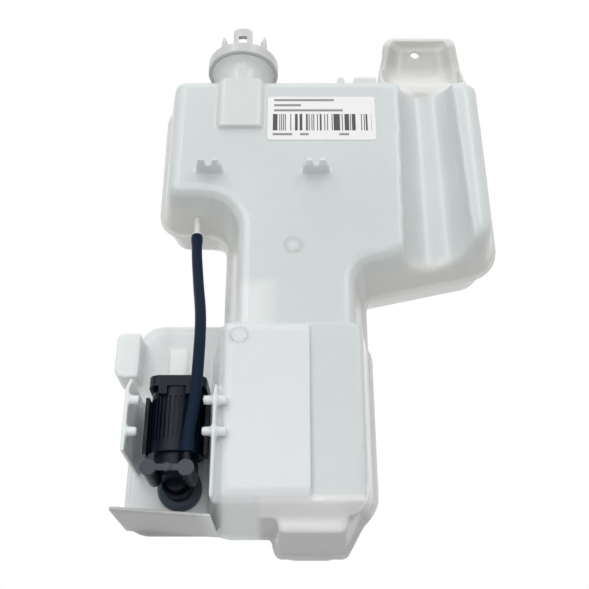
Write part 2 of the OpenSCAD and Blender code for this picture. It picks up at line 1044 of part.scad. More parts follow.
// Pump chamber with the collared inlet at its back, two valve tubes in front and the outlet
module valve_body() {
    color("black")
        difference() {
            union() {
                on_pump(chamber_low)
                    rotate_extrude()
                        polygon([
                            [0, 0], [chamber_r - chamber_edge, 0], [chamber_r, chamber_edge],
                            [chamber_r, housing_low - chamber_low], [0, housing_low - chamber_low]
                        ]);
                difference() {
                    lying(pump_x, inlet_z, nose_front, nose_back, nose_r);
                    lying(pump_x, inlet_z, nose_front - eps, nose_floor, nose_r - nose_rim);
                }
                lying(pump_x, inlet_z, inlet_front, inlet_back, inlet_r);
                for (x = valve_x)
                    lying(x, valve_z, valve_front, pump_y, valve_r);
                translate([spigot_x, spigot_y, valve_z])
                    cylinder(h = spigot_top - valve_z, r = spigot_r);
                translate([spigot_x, spigot_y, spigot_top - barb_from])
                    cylinder(h = barb_h, r1 = spigot_r + hose_swell - seat, r2 = spigot_r);
            }
            on_pump(chamber_low + base_t)
                cylinder(h = housing_low - chamber_low, r = wheel_r + wheel_room);
            lying(pump_x, inlet_z, inlet_from, inlet_back + eps, inlet_r - inlet_wall);
            for (x = valve_x) {
                lying(x, valve_z, valve_front - eps, valve_seat, valve_r - valve_wall);
                lying(x, valve_z, valve_front, port_y + valve_port, valve_port);
                translate([x + port_in * sign(pump_x - x), port_y, valve_z])
                    cylinder(h = chamber_low + 2 * base_t - valve_z, r = valve_port - valve_wall / 2);
            }
            translate([spigot_x, spigot_y, valve_z])
                cylinder(h = spigot_top - valve_z + eps, r = spigot_bore);
        }
}

// Rubber check discs on their seats in the valve tubes
module valve_discs() {
    color("dimgray")
        for (x = valve_x)
            lying(x, valve_z, valve_seat - disc_t, valve_seat, valve_r - valve_wall - disc_room);
}

// Twin caps of the valve tubes, joined by a bar with a boss in its middle
module valve_caps() {
    color("black") {
        for (x = valve_x) {
            lying(x, valve_z, valve_front - cap_t, valve_front, valve_r + cap_over);
            lying(x, valve_z, valve_front - eps, valve_front + cap_plug, valve_r - valve_wall - seat);
        }
        translate([valve_x[0], valve_front - cap_t, valve_z - bar_h / 2])
            cube([valve_x[1] - valve_x[0], cap_t - bar_in, bar_h]);
        lying(
            (valve_x[0] + valve_x[1]) / 2, valve_z, valve_front - cap_t - bar_in, valve_front - bar_in, boss_r
        );
    }
}

// Slotted strainer in the mouth of the inlet
module inlet_filter() {
    color("gainsboro")
        difference() {
            union() {
                lying(pump_x, inlet_z, inlet_back, inlet_back + filter_l, inlet_r);
                lying(
                    pump_x, inlet_z, inlet_back - filter_plug, inlet_back + eps,
                    inlet_r - inlet_wall - seat
                );
            }
            lying(
                pump_x, inlet_z, inlet_back - filter_plug - eps, inlet_back + filter_l - filter_wall,
                inlet_r - inlet_wall - filter_wall
            );
            for (k = [0:filter_slots - 1])
                translate([pump_x, inlet_back + filter_wall, inlet_z])
                    rotate([0, 360 / filter_slots * k, 0])
                        translate([filter_core, 0, -filter_slot_w / 2])
                            cube([inlet_r, filter_l - 3 * filter_wall, filter_slot_w]);
        }
}

// Point on the smooth curve through the route at k plus t
function route_point(k, t) = let (
    n = len(route) - 1,
    a = route[max(k - 1, 0)],
    b = route[k],
    c = route[min(k + 1, n)],
    d = route[min(k + 2, n)]
) (2 * b + (c - a) * t + (2 * a - 5 * b + 4 * c - d) * pow(t, 2) + (3 * b - a - 3 * c + d) * pow(t, 3)) / 2;

hose_line = concat(
    [for (k = [0:len(route) - 2]) for (j = [0:route_steps - 1]) route_point(k, j / route_steps)],
    [route[len(route) - 1]]
);

// Direction of the hose at ring i
function hose_way(i) = unit(hose_line[min(i + 1, len(hose_line) - 1)] - hose_line[max(i - 1, 0)]);

// How much the hose is stretched at ring i by the barbs in its ends
function stretched(i) = (i <= route_steps || i >= len(hose_line) - 1 - route_steps) ? hose_swell : 0;

// Ring i of the hose with radius r
function hose_ring(i, r) = let (
    w = hose_way(i),
    v = unit(cross(w, [1, 0, 0])),
    u = cross(v, w)
) [
    for (k = [0:hose_sides - 1])
        hose_line[i] + (r + stretched(i)) * (u * cos(360 * k / hose_sides) + v * sin(360 * k / hose_sides))
];

// Rubber hose from the pump to the connector
module hose() {
    n = hose_sides;
    m = len(hose_line);
    outer = [for (i = [0:m - 1]) each hose_ring(i, hose_d / 2)];
    inner = [for (i = [0:m - 1]) each hose_ring(i, hose_bore / 2)];
    skin_faces = [
        for (j = [0:m - 2])
            for (i = [0:n - 1])
                let (a = j * n + i, b = j * n + (i + 1) % n)
                    each [[a, a + n, b], [b, a + n, b + n]]
    ];
    bore_faces = [for (f = skin_faces) [f[0] + m * n, f[2] + m * n, f[1] + m * n]];
    ends = [
        for (i = [0:n - 1])
            let (a = i, b = (i + 1) % n, z = (m - 1) * n)
                each [
                    [a, b, a + m * n], [b, b + m * n, a + m * n],
                    [z + b, z + a, z + a + m * n], [z + b, z + a + m * n, z + b + m * n]
                ]
    ];
    color("midnightblue")
        polyhedron(concat(outer, inner), concat(skin_faces, bore_faces, ends));
}

// Half section of the barbed connector, from its end in the hose
module connector_profile() {
    barb = barb_h - connector_in;
    flange = flange_from + flange_t;
    polygon([
        [spigot_bore, -connector_in], [spigot_r, -connector_in], [spigot_r + barb_out, barb],
        [spigot_r, barb + barb_back], [spigot_r, flange_from], [spigot_r + flange_out, flange_from],
        [spigot_r + flange_out, flange], [spigot_r, flange], [spigot_r, connector_out - tip_l],
        [spigot_r - tip_in, connector_out], [spigot_bore, connector_out]
    ]);
}

// Hose connector that joins the hose to the next length
module hose_connector() {
    m = len(hose_line) - 1;
    w = hose_way(m);
    color("white")
        translate(hose_line[m])
            rotate([0, acos(w[2]), atan2(w[1], w[0])])
                rotate_extrude()
                    connector_profile();
}

tank();
filler_neck();
label();
grommet();
pump_housing();
pump_cover();
terminals();
motor_can();
magnets();
armature_core();
windings();
commutator();
motor_shaft();
brushes();
brush_plate();
bearing_bushes();
shaft_seal();
impeller();
valve_body();
valve_discs();
valve_caps();
inlet_filter();
hose();
hose_connector();
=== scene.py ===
import json
from math import cos, radians, sin, tau

import bmesh
import bpy
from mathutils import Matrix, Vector


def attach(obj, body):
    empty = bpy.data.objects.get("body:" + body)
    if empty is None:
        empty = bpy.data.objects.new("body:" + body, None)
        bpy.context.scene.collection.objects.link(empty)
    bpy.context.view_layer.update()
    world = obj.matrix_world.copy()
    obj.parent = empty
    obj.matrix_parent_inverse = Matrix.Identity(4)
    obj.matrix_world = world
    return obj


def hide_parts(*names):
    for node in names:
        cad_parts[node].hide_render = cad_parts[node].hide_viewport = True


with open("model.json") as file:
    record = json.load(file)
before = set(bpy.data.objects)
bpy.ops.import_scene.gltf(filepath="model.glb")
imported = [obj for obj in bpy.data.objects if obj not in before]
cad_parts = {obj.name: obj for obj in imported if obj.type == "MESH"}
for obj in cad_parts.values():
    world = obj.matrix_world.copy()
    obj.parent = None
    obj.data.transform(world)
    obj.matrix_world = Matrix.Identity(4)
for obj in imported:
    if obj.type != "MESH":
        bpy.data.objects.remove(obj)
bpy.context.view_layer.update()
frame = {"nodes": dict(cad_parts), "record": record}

nodes = frame["nodes"]
MM = 0.001

# Tones of the blown wall, many of them painted light and painted shade. Each edge, in metres, says where
# a change starts and where it is full.

WALL_TONE = (0.695, 0.74, 0.74)
WALL_OTHER_TONE = (0.655, 0.70, 0.695)
# Painted light: walls set back from the front take a lighter, warmer tone for light seen through the
# slanted wall
SIDE_PAINTED_LIGHT = (0.77, 0.78, 0.75, 1)
WARM_DEPTH = (-0.041, -0.020)
BACK_DEPTH = (0.0, 0.006)
CHANNEL_LEFT = (-0.016, -0.026)
CHANNEL_RIGHT = (0.014, 0.024)
CHANNEL_LOW = (-0.192, -0.202)
CHANNEL_TOP = (-0.066, -0.050)
# Painted shade: the side tone grows darker towards the top of the ear, over the edge below
EAR_PAINTED_SHADE = (0.53, 0.54, 0.513, 1)
EAR_LOW = (-0.042, -0.012)
# Painted light on the front of the ear's top rim
EAR_TOP_PAINTED_LIGHT = (0.75, 0.76, 0.725, 1)
EAR_TOP = (0.0, 0.005)
# Painted light: a bright crescent where the ear's dish runs down into the channel
SCOOP_PAINTED_LIGHT = (0.80, 0.805, 0.785, 1)
SCOOP_SPAN = ((-0.026, -0.020), (0.018, 0.024))
SCOOP_HEIGHT = ((-0.062, -0.057), (-0.040, -0.014))
# Painted light in the pocket: its walls are lighter, standing in for light that fills the recess
POCKET_PAINTED_LIGHT = (0.81, 0.845, 0.845, 1)
POCKET_EDGE = (-0.120, -0.105)
POCKET_TOP = (-0.232, -0.222)
PAD_TONE = (0.95, 0.955, 0.945, 1)
PAD_SPAN = ((-0.1768, -0.1762), (-0.1662, -0.1656))
PAD_HEIGHT = ((-0.2778, -0.2772), (-0.2586, -0.258))
PANEL_TONE = (0.765, 0.80, 0.825, 1)
PANEL_DEPTH = (-0.0505, -0.0525)
PANEL_EDGE = (-0.1482, -0.1472)
NECK_TONE = (0.72, 0.74, 0.725, 1)
NECK_SPAN = ((-0.153, -0.1515), (-0.1165, -0.115))
NECK_LOW = (-0.109, -0.1065)
NECK_DEPTH = (-0.0428, -0.0442)
NECK_RISE = (-0.060, -0.054)
# Painted shade on the underside of the shelf
SHELF_PAINTED_SHADE = (0.44, 0.445, 0.44, 1)
SHELF_EDGE = (-0.138, -0.150)
SHELF_TOP = (-0.362, -0.368)
# Painted shade on the foot under the box, with painted light on its front facet
FOOT_PAINTED_SHADE = (0.60, 0.60, 0.595, 1)
FOOT_FRONT_PAINTED_LIGHT = (0.90, 0.905, 0.895, 1)
FOOT_SPAN = ((-0.118, -0.114), (-0.048, -0.044))
FOOT_TOP = (-0.3625, -0.366)
FOOT_FRONT = (-0.0275, -0.0305)

# Forms, in millimetres

NECK = (-134.0, -30.0)
NECK_FLARE = [
    (14.2, -66.0), (16.3, -66.0), (16.4, -60.0), (16.9, -55.0), (18.4, -51.0), (20.8, -48.2),
    (23.4, -46.9), (23.4, -46.4), (14.2, -46.4),
]
NECK_SIDES = 72
HOOK_R = 14.4
HOOK_LEAF = [  # height, half width, half thickness
    (-38.9, 3.2, 2.3), (-30.0, 3.4, 2.5), (-21.0, 3.3, 2.5), (-15.0, 2.7, 2.1), (-11.5, 1.6, 1.2),
    (-9.0, 0.4, 0.3),
]
HOOK_LEAN = 1.0
HOOK_SIDES = 16
HOOK_ROUNDING = 2

EAR_HOLE_R = 3.5
EAR_OUTLINE = [
    (-32.5, -56.0), (-31.6, -30.0), (-25.2, 1.5), (-23.6, 6.2), (-19.5, 9.3), (-12.0, 9.9),
    (22.0, 9.9), (27.8, 9.2), (30.5, 6.2), (31.0, 1.5), (33.2, -30.0), (33.6, -56.0),
]
EAR_BACK = 1.5
EAR_FACE = -1.6
EAR_RISE = 8.0
EAR_RISE_SHARE = (0.3, 0.82)  # of the way from the hole to the outline
EAR_RIM_HEIGHT = (-50.0, -28.0)
EAR_RIM_SIDE = (14.0, 26.0)
EAR_RINGS = 14
EAR_SIDES = 96

FOOT = [
    (-106.5, -32, -362), (-66.5, -32, -362), (-104.5, -32, -379), (-68, -32, -379),
    (-113, -1.5, -360), (-50, -1.5, -358), (-106, -1.5, -387.5), (-66, -1.5, -387.5),
]
FOOT_BEAD = [
    (-115.5, -358), (-108.5, -385.5), (-106.6, -388.6), (-104.0, -389.8), (-67.5, -389.8),
    (-65.0, -388.8), (-63.2, -386.6), (-46.6, -357),
]
BEAD_HALF = 1.4
TOP_LUGS = [(-65.5, -59.0), (-53.5, -35.0)]  # from left to right
LUG_DEPTH = (-33.0, -30.0)
LUG_HEIGHT = (-58.0, -50.5)
LUG_TAPER = 1.0
BOX_CORNER = [
    (-56.0, -50.0, -340), (-56.0, -50.0, -367), (-86, -50.0, -367), (-60, -40, -340),
    (-86, -40, -360), (-50, -3, -354), (-64, -3, -371.5), (-84, -3, -371),
]

WALL_GRID = 1.0
SMOOTH_FACTOR = 0.5
AREA_PASSES = 100
WALL_PASSES = 5
FACES_KEPT = 0.19
SOFT_AREAS = [  # the X, Y and Z spans of a box, and how far its edges soften
    (((-34.0, 34.0), (-60.0, -8.0), (-212.0, -58.0)), 1.0),  # lips of the channel
    (((-80.0, -46.0), (-60.0, -8.0), (-372.0, -335.0)), 0.4),  # lower corner of the box
    (((-27.0, 28.0), (-40.0, 0.0), (-64.0, -22.0)), 0.5),  # dish of the ear
    (((-120.0, -44.0), (-46.0, -4.0), (-392.0, -364.0)), 0.35),  # foot
]

ROUND_MARKS = [(-97.0, -42.0, -199.0, 6.5), (-129.0, -53.0, -268.0, 5.5)]  # place and radius
MARK_RING = [  # past the radius, depth
    (0.3, 0.3), (0.0, -0.2), (-0.4, -0.4), (-0.9, -0.4), (-1.3, -0.15),
]
MARK_POINT = [(1.2, -0.15), (0.8, -0.4), (0.3, -0.45)]  # radius, depth
MARK_SIDES = 48

HOSE_D = 7.0
HOSE_ROUTE = [
    (-156, -56, -341), (-155.5, -56, -328), (-153.3, -56, -310), (-152.5, -56, -288),
    (-153.5, -48, -255), (-157.5, -36, -225), (-160.7, -28, -199), (-162, -23, -182),
]
HOSE_STEPS = 5
HOSE_SWELL = 1.12
HOSE_END_POINTS = 3
HOSE_ROUNDING = 6

BROKEN_EDGES = {
    "filler_neck": 0.6, "grommet": 0.6, "pump_housing": 0.3, "pump_cover": 0.7, "valve_body": 0.5,
    "valve_caps": 0.5, "hose_connector": 0.2,
}
EDGE_SEGMENTS = 3
EDGE_ANGLE = radians(35)

# Noise of the finishes

GRAIN_DETAIL = 2.0
CLOUD_DETAIL = 4.0
CLOUD_EDGES = (0.35, 0.65)  # noise that gives the one tone and the other

# Label, as shares of its width and height

BAR_CELLS = 118.0
BAR_GAPS = 0.48
BAR_FIELD = (0.05, 0.96, 0.21, 0.59)
STRIPS = [
    (0.06, 0.62, 0.89, 0.94), (0.06, 0.31, 0.77, 0.82), (0.06, 0.70, 0.65, 0.70),
    (0.05, 0.23, 0.10, 0.15), (0.30, 0.38, 0.10, 0.15), (0.66, 0.75, 0.10, 0.15),
]
STRIP_DARKNESS = 0.75
INK = (0.06, 0.06, 0.065, 1)
PAPER = (0.93, 0.935, 0.935, 1)
PAPER_FIBRE = (0.88, 0.885, 0.885, 1)
FIBRE_SCALE = 1800.0
FIBRE_DETAIL = 3.0
PAPER_ROUGHNESS = 0.45

# Studio, in metres and watts, with the camera's lens and sensor in millimetres

FILL_LIGHT = 0.48
AIM = (-0.096, 0.0, -0.19)
LAMPS = [  # name, place, width, height, power
    ("front softbox", (-0.35, -1.6, -0.15), 1.1, 0.9, 4.8),
    ("left strip", (-0.75, -1.05, 0.55), 0.18, 0.9, 2.6),
    ("right strip", (0.6, -1.05, 0.55), 0.18, 0.9, 2.6),
    ("back softbox", (-0.1, 1.6, 0.4), 1.1, 0.9, 1.8),
    ("overhead softbox", (-0.1, -0.6, 1.3), 1.2, 1.2, 3.0),
]
FLOOR_Z = -0.62
FLOOR_REACH = 3.0
CAMERA_PLACE = (-0.096, -0.5184, -0.478)
CAMERA_TILT = radians(117)
CAMERA_LENS = 51.95
CAMERA_SENSOR = 36.0


def at(x, y, z):
    """A place given in millimetres, as Blender's metres."""
    return Vector((x, y, z)) * MM


def ramp(value, start, end):
    """0 before the start, 1 past the end and even between them."""
    return min(max((value - start) / (end - start), 0.0), 1.0)


# Shader nodes

def feed(tree, socket, value):
    """Links a socket to another socket, or sets it to a plain value."""
    if hasattr(value, "node"):
        tree.links.new(value, socket)
    else:
        socket.default_value = value


def noise(tree, where, scale, detail):
    """Noise over the given coordinates."""
    node = tree.nodes.new("ShaderNodeTexNoise")
    feed(tree, node.inputs["Vector"], where)
    feed(tree, node.inputs["Scale"], scale)
    feed(tree, node.inputs["Detail"], detail)
    return node.outputs["Fac"]


def to_range(tree, value, low, high, new_low=0.0, new_high=1.0):
    """Maps a value from one range to another, clamped."""
    node = tree.nodes.new("ShaderNodeMapRange")
    feed(tree, node.inputs["Value"], value)
    feed(tree, node.inputs["From Min"], low)
    feed(tree, node.inputs["From Max"], high)
    feed(tree, node.inputs["To Min"], new_low)
    feed(tree, node.inputs["To Max"], new_high)
    return node.outputs["Result"]


def blend_colour(tree, factor, first, second):
    """Mixes two colours by a factor."""
    node = tree.nodes.new("ShaderNodeMix")
    node.data_type = "RGBA"
    feed(tree, node.inputs["Factor"], factor)
    feed(tree, node.inputs["A"], first)
    feed(tree, node.inputs["B"], second)
    return node.outputs["Result"]


def arithmetic(tree, kind, a, b=0.0):
    """One sum on one or two values."""
    node = tree.nodes.new("ShaderNodeMath")
    node.operation = kind
    feed(tree, node.inputs[0], a)
    feed(tree, node.inputs[1], b)
    return node.outputs["Value"]


def all_of(tree, first, *others):
    """A mask where every one of some masks holds."""
    for mask in others:
        first = arithmetic(tree, "MULTIPLY", first, mask)
    return first


def any_of(tree, first, *others):
    """A mask where at least one of some masks holds."""
    for mask in others:
        first = arithmetic(tree, "MAXIMUM", first, mask)
    return first


def within(tree, value, start, end):
    """A mask that rises over one edge and falls over another."""
    return all_of(tree, to_range(tree, value, *start), to_range(tree, value, *end, 1.0, 0.0))


def new_group(name, inputs, outputs):
    """An empty shader node group with its sockets, and its two end nodes."""
    group = bpy.data.node_groups.new(name, "ShaderNodeTree")
    for label, kind in inputs:
        group.interface.new_socket(label, in_out="INPUT", socket_type=kind)
    for label, kind in outputs:
        group.interface.new_socket(label, in_out="OUTPUT", socket_type=kind)
    return group, group.nodes.new("NodeGroupInput"), group.nodes.new("NodeGroupOutput")


def grain_group():
    """Fine grain of a moulded surface with larger, softer unevenness under it."""
    group, given, out = new_group(
        "moulded grain",
        [
            ("Where", "NodeSocketVector"), ("Fine Scale", "NodeSocketFloat"),
            ("Wave Scale", "NodeSocketFloat"), ("Wave Share", "NodeSocketFloat"),
        ],
        [("Height", "NodeSocketFloat")],
    )
    where = given.outputs["Where"]
    fine = noise(group, where, given.outputs["Fine Scale"], GRAIN_DETAIL)
    wave = noise(group, where, given.outputs["Wave Scale"], GRAIN_DETAIL)
    wave = arithmetic(group, "MULTIPLY", wave, given.outputs["Wave Share"])
    feed(group, out.inputs["Height"], arithmetic(group, "ADD", fine, wave))
    return group


def cloud_group():
    """Soft uneven tone and gloss, as handling and flow leave them."""
    group, given, out = new_group(
        "uneven tone",
        [
            ("Where", "NodeSocketVector"), ("Scale", "NodeSocketFloat"),
            ("Colour", "NodeSocketColor"), ("Other Colour", "NodeSocketColor"),
            ("Low Gloss", "NodeSocketFloat"), ("High Gloss", "NodeSocketFloat"),
        ],
        [("Colour", "NodeSocketColor"), ("Roughness", "NodeSocketFloat")],
    )
    cloud = noise(group, given.outputs["Where"], given.outputs["Scale"], CLOUD_DETAIL)
    share = to_range(group, cloud, *CLOUD_EDGES)
    tone = blend_colour(group, share, given.outputs["Colour"], given.outputs["Other Colour"])
    gloss = to_range(group, share, 0.0, 1.0, given.outputs["Low Gloss"], given.outputs["High Gloss"])
    feed(group, out.inputs["Colour"], tone)
    feed(group, out.inputs["Roughness"], gloss)
    return group


GRAIN = grain_group()
CLOUD = cloud_group()


def use_group(tree, group, where, values):
    """A node group over the given coordinates, with its values set."""
    node = tree.nodes.new("ShaderNodeGroup")
    node.node_tree = group
    feed(tree, node.inputs["Where"], where)
    for label, value in values.items():
        node.inputs[label].default_value = value
    return node


# Finishes

def finish(name, colour, other, gloss, cloud=30.0, fine=2500.0, wave=60.0, wave_share=0.5,
           bump=0.0002, metal=0.0, shine=0.5):
    """A material with uneven tone and gloss, and moulded grain."""
    mat = bpy.data.materials.new(name)
    mat.use_nodes = True
    tree = mat.node_tree
    shader = tree.nodes["Principled BSDF"]
    where = tree.nodes.new("ShaderNodeTexCoord").outputs["Object"]
    tone = use_group(tree, CLOUD, where, {
        "Scale": cloud, "Colour": (*colour, 1), "Other Colour": (*other, 1),
        "Low Gloss": gloss[0], "High Gloss": gloss[1],
    })
    grain = use_group(tree, GRAIN, where, {
        "Fine Scale": fine, "Wave Scale": wave, "Wave Share": wave_share,
    })
    lift = tree.nodes.new("ShaderNodeBump")
    lift.inputs["Distance"].default_value = bump
    lift.inputs["Strength"].default_value = 0.5
    feed(tree, lift.inputs["Height"], grain.outputs["Height"])
    feed(tree, shader.inputs["Base Color"], tone.outputs["Colour"])
    feed(tree, shader.inputs["Roughness"], tone.outputs["Roughness"])
    feed(tree, shader.inputs["Normal"], lift.outputs["Normal"])
    shader.inputs["Metallic"].default_value = metal
    shader.inputs["Specular IOR Level"].default_value = shine
    return mat


def milky(name, colour, other, spread):
    """Translucent polyethylene: light spreads inside the wall, under a waxy skin."""
    mat = finish(
        name, colour, other, (0.42, 0.32), cloud=9.0, fine=900.0, wave=35.0, wave_share=2.5, bump=0.0003
    )
    shader = mat.node_tree.nodes["Principled BSDF"]
    shader.inputs["Subsurface Weight"].default_value = spread
    shader.inputs["Subsurface Radius"].default_value = (1.0, 1.0, 1.0)
    shader.inputs["Subsurface Scale"].default_value = 0.003
    shader.inputs["IOR"].default_value = 1.5
    shader.inputs["Coat Weight"].default_value = 0.6
    shader.inputs["Coat Roughness"].default_value = 0.24
    return mat


def blown_polyethylene():
    """Milky wall with painted light on the sides, the ear's front rim, the scoop and the pocket, painted
    shade on the ear's top, the shelf and the foot with painted light on its front, and lighter tones on
    the pad, panel and neck.
    """
    mat = milky("milky polyethylene", WALL_TONE, WALL_OTHER_TONE, 0.65)
    tree = mat.node_tree
    shader = tree.nodes["Principled BSDF"]
    split = tree.nodes.new("ShaderNodeSeparateXYZ")
    feed(tree, split.inputs["Vector"], tree.nodes["Texture Coordinate"].outputs["Object"])

    def across(edge):
        return to_range(tree, split.outputs["X"], *edge)

    def depth(edge):
        return to_range(tree, split.outputs["Y"], *edge)

    def up(edge):
        return to_range(tree, split.outputs["Z"], *edge)

    behind = depth(BACK_DEPTH)
    in_front = arithmetic(tree, "SUBTRACT", 1.0, behind)
    off_channel = any_of(
        tree, across(CHANNEL_LEFT), across(CHANNEL_RIGHT), up(CHANNEL_LOW), up(CHANNEL_TOP), behind
    )
    off_pocket = any_of(tree, across(POCKET_EDGE), up(POCKET_TOP), behind)
    pocket = arithmetic(tree, "SUBTRACT", 1.0, off_pocket)
    side = all_of(tree, off_channel, off_pocket, depth(WARM_DEPTH))
    # Painted light on the sides, painted shade towards the ear's top, painted light on the ear's front
    # rim
    side_light_and_shade = blend_colour(tree, up(EAR_LOW), SIDE_PAINTED_LIGHT, EAR_PAINTED_SHADE)
    ear_top = all_of(tree, in_front, up(EAR_TOP))
    side_light_and_shade = blend_colour(tree, ear_top, side_light_and_shade, EAR_TOP_PAINTED_LIGHT)
    pad = all_of(
        tree, in_front, within(tree, split.outputs["X"], *PAD_SPAN),
        within(tree, split.outputs["Z"], *PAD_HEIGHT),
    )
    scoop = all_of(
        tree, in_front, within(tree, split.outputs["X"], *SCOOP_SPAN),
        within(tree, split.outputs["Z"], *SCOOP_HEIGHT),
    )
    panel = all_of(tree, depth(PANEL_DEPTH), across(PANEL_EDGE))
    neck = all_of(
        tree, any_of(tree, depth(NECK_DEPTH), up(NECK_RISE)), up(NECK_LOW),
        within(tree, split.outputs["X"], *NECK_SPAN),
    )
    shelf = all_of(tree, across(SHELF_EDGE), up(SHELF_TOP))
    foot = all_of(tree, in_front, up(FOOT_TOP), within(tree, split.outputs["X"], *FOOT_SPAN))
    # Painted shade on the foot, painted light on its front facet
    foot_light_and_shade = blend_colour(tree, depth(FOOT_FRONT), FOOT_PAINTED_SHADE, FOOT_FRONT_PAINTED_LIGHT)

    # Painted light and painted shade over the wall's base tone, with lighter tones on the pad, panel and
    # neck
    tone = shader.inputs["Base Color"].links[0].from_socket
    for mask, colour in (
        (pocket, POCKET_PAINTED_LIGHT), (side, side_light_and_shade), (pad, PAD_TONE), (scoop, SCOOP_PAINTED_LIGHT),
        (panel, PANEL_TONE), (neck, NECK_TONE), (shelf, SHELF_PAINTED_SHADE), (foot, foot_light_and_shade),
    ):
        tone = blend_colour(tree, mask, tone, colour)
    feed(tree, shader.inputs["Base Color"], tone)
    return mat


FINISHES = {
    "milky_polyethylene": blown_polyethylene(),
    "neck_plastic": milky("natural neck plastic", (0.62, 0.635, 0.62), (0.59, 0.605, 0.59), 0.6),
    "grommet_rubber": finish(
        "grommet rubber", (0.06, 0.085, 0.112), (0.072, 0.098, 0.126), (0.5, 0.4), shine=0.25
    ),
    "black_plastic": finish(
        "black moulding", (0.002, 0.005, 0.014), (0.004, 0.007, 0.017), (0.27, 0.18), shine=0.2
    ),
    "brass_blade": finish("tinned blade", (0.7, 0.62, 0.45), (0.6, 0.52, 0.36), (0.3, 0.2), metal=1.0),
    "motor_steel": finish(
        "plated steel", (0.55, 0.55, 0.56), (0.45, 0.45, 0.46), (0.35, 0.25), metal=1.0
    ),
    "ferrite": finish("ferrite", (0.05, 0.05, 0.055), (0.07, 0.07, 0.07), (0.7, 0.6)),
    "carbon": finish("carbon", (0.02, 0.02, 0.02), (0.035, 0.035, 0.035), (0.6, 0.5)),
    "phenolic": finish("phenolic board", (0.12, 0.05, 0.02), (0.16, 0.07, 0.03), (0.5, 0.4)),
    "bronze": finish("sintered bronze", (0.45, 0.3, 0.13), (0.38, 0.24, 0.1), (0.45, 0.35), metal=1.0),
    "seal_rubber": finish("seal rubber", (0.015, 0.015, 0.016), (0.025, 0.025, 0.025), (0.6, 0.5)),
    "filter_plastic": finish("filter nylon", (0.7, 0.7, 0.66), (0.62, 0.62, 0.58), (0.5, 0.4)),
    "hose_rubber": finish(
        "hose rubber", (0.005, 0.016, 0.034), (0.007, 0.019, 0.039), (0.34, 0.26), shine=0.06
    ),
    "connector_plastic": finish("white acetal", (0.82, 0.82, 0.81), (0.76, 0.76, 0.75), (0.35, 0.25)),
    "shaft_steel": finish("ground steel", (0.6, 0.6, 0.62), (0.5, 0.5, 0.52), (0.25, 0.18), metal=1.0),
    "core_steel": finish(
        "laminated steel", (0.3, 0.3, 0.31), (0.24, 0.24, 0.25), (0.45, 0.35), metal=1.0
    ),
    "copper": finish("copper", (0.6, 0.26, 0.12), (0.5, 0.2, 0.08), (0.4, 0.3), metal=1.0),
    "wheel_plastic": finish("wheel acetal", (0.68, 0.65, 0.55), (0.62, 0.59, 0.5), (0.4, 0.3)),
}
# Lighter grey than the black moulding: painted sheen on the valve caps
CAP_PAINTED_SHEEN = finish(
    "black moulding with painted sheen", (0.046, 0.052, 0.068), (0.06, 0.066, 0.084), (0.45, 0.35), shine=0.25
)


def label_finish():
    """White stock with plain grey strips and a field of bars."""
    mat = bpy.data.materials.new("label stock")
    mat.use_nodes = True
    tree = mat.node_tree
    shader = tree.nodes["Principled BSDF"]
    shader.inputs["Roughness"].default_value = PAPER_ROUGHNESS
    place = tree.nodes.new("ShaderNodeTexCoord")
    split = tree.nodes.new("ShaderNodeSeparateXYZ")
    feed(tree, split.inputs["Vector"], place.outputs["Generated"])
    across, up = split.outputs["X"], split.outputs["Z"]

    def field(left, right, low, high):
        return all_of(
            tree,
            arithmetic(tree, "GREATER_THAN", across, left), arithmetic(tree, "LESS_THAN", across, right),
            arithmetic(tree, "GREATER_THAN", up, low), arithmetic(tree, "LESS_THAN", up, high),
        )

    chance = tree.nodes.new("ShaderNodeTexWhiteNoise")
    chance.noise_dimensions = "1D"
    cell = arithmetic(tree, "FLOOR", arithmetic(tree, "MULTIPLY", across, BAR_CELLS))
    feed(tree, chance.inputs["W"], cell)
    bars = arithmetic(tree, "GREATER_THAN", chance.outputs["Value"], BAR_GAPS)
    ink = all_of(tree, bars, field(*BAR_FIELD))
    for strip in STRIPS:
        ink = any_of(tree, ink, arithmetic(tree, "MULTIPLY", field(*strip), STRIP_DARKNESS))
    fibre = noise(tree, place.outputs["Object"], FIBRE_SCALE, FIBRE_DETAIL)
    paper = blend_colour(tree, fibre, PAPER, PAPER_FIBRE)
    feed(tree, shader.inputs["Base Color"], blend_colour(tree, ink, paper, INK))
    return mat


def dress(obj, mat):
    """Gives a piece its material."""
    obj.data.materials.clear()
    obj.data.materials.append(mat)


# Forms

def join_loops(form, loops, closed=True):
    """Faces between each loop of points and the next; the last may meet the first."""
    pairs = list(zip(loops, loops[1:]))
    if closed:
        pairs.append((loops[-1], loops[0]))
    for first, second in pairs:
        for k in range(len(first)):
            n = (k + 1) % len(first)
            form.faces.new((first[k], first[n], second[n], second[k]))


def level_ring(form, x, y, z, half_x, half_y, sides):
    """Points of a level ellipse."""
    turns = [k * tau / sides for k in range(sides)]
    return [form.verts.new(at(x + half_x * cos(t), y + half_y * sin(t), z)) for t in turns]


def upright_ring(form, x, y, z, radius, sides):
    """Points of a circle that faces the front."""
    turns = [k * tau / sides for k in range(sides)]
    return [form.verts.new(at(x + radius * cos(t), y, z + radius * sin(t))) for t in turns]


def add_turned(form, centre, profile, sides):
    """A ring turned about an upright axis."""
    join_loops(form, [level_ring(form, *centre, up, away, away, sides) for away, up in profile])


def add_hull(form, points):
    """The convex form over some points."""
    verts = [form.verts.new(at(*p)) for p in points]
    bmesh.ops.convex_hull(form, input=verts)


def add_upright_plate(form, outline, half):
    """A plate on the parting plane with the given outline."""
    loops = [[form.verts.new(at(x, y, z)) for x, z in outline] for y in (-half, half)]
    join_loops(form, loops, closed=False)
    for loop in loops:
        form.faces.new(loop)


